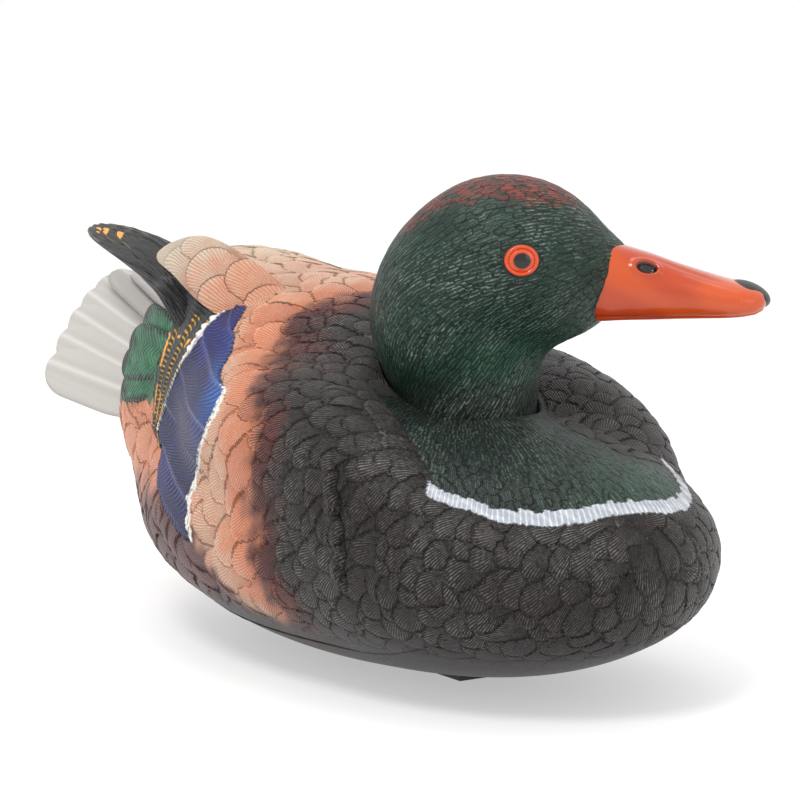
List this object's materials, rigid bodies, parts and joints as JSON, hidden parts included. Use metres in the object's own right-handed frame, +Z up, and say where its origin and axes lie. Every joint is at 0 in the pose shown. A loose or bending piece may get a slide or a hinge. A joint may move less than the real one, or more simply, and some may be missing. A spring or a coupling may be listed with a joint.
{
  "type": "floating duck decoy",
  "caption": "Floating drake mallard decoy with a hollow hull, turning head, cocked tail fan, folded wing tips, ballast, drain plug and tether eye.",
  "frame": {"origin": "middle of the flat rest face under the hull", "axes": "+X towards the breast, +Y towards the duck's left, +Z up"},
  "size_m": [0.2913, 0.1351, 0.1425],
  "materials": {
    "feather_paint": "hand-painted moulded feathers, dry-brushed, satin",
    "hull_paint": "dark brown-black paint, satin",
    "tail_paint": "off-white paint, matt",
    "wing_paint": "black paint, satin",
    "head_paint": "dark green paint, dry-brushed, satin",
    "bill_enamel": "orange enamel, high gloss",
    "eye_enamel": "orange and black enamel, high gloss",
    "black_rubber": "matt",
    "float_foam": "closed-cell foam, matt",
    "ballast_iron": "as cast",
    "steel": "stainless, satin",
    "bearing_nylon": "natural nylon, satin",
    "plug_plastic": "moulded black plastic, satin"
  },
  "bodies": {
    "hull": {"upper_shell": "feather_paint", "hull_pan": "hull_paint", "seam_gasket": "black_rubber", "tail_fan": "tail_paint", "wing_tip_right": "wing_paint", "wing_tip_left": "wing_paint", "foam_float": "float_foam", "ballast_weight": "ballast_iron", "ballast_screws": "steel", "neck_bushing": "bearing_nylon", "friction_washer": "black_rubber", "tether_cup": "hull_paint", "tether_pin": "steel"},
    "head": {"head_shell": "head_paint", "bill": "bill_enamel", "eye_right": "eye_enamel", "eye_left": "eye_enamel", "neck_base": "plug_plastic", "neck_bolt": "steel", "neck_washer": "steel", "neck_nut": "steel"},
    "tether": {"tether_eye": "steel"},
    "drain": {"drain_plug": "plug_plastic", "drain_o_ring": "black_rubber"}
  },
  "joints": [
    {"name": "head_swivel", "type": "hinge", "parent": "hull", "child": "head", "pos_m": [0.028, 0, 0.07], "axis": [0, 0, 1], "range_deg": [-122, 18]},
    {"name": "tether_swing", "type": "hinge", "parent": "hull", "child": "tether", "pos_m": [0.033, 0, 0.0028], "axis": [0, -1, 0], "range_deg": [0, 95]},
    {"name": "drain_pull", "type": "slide", "parent": "hull", "child": "drain", "axis": [0, 0, -1], "range_m": [0, 0.014]}
  ]
}
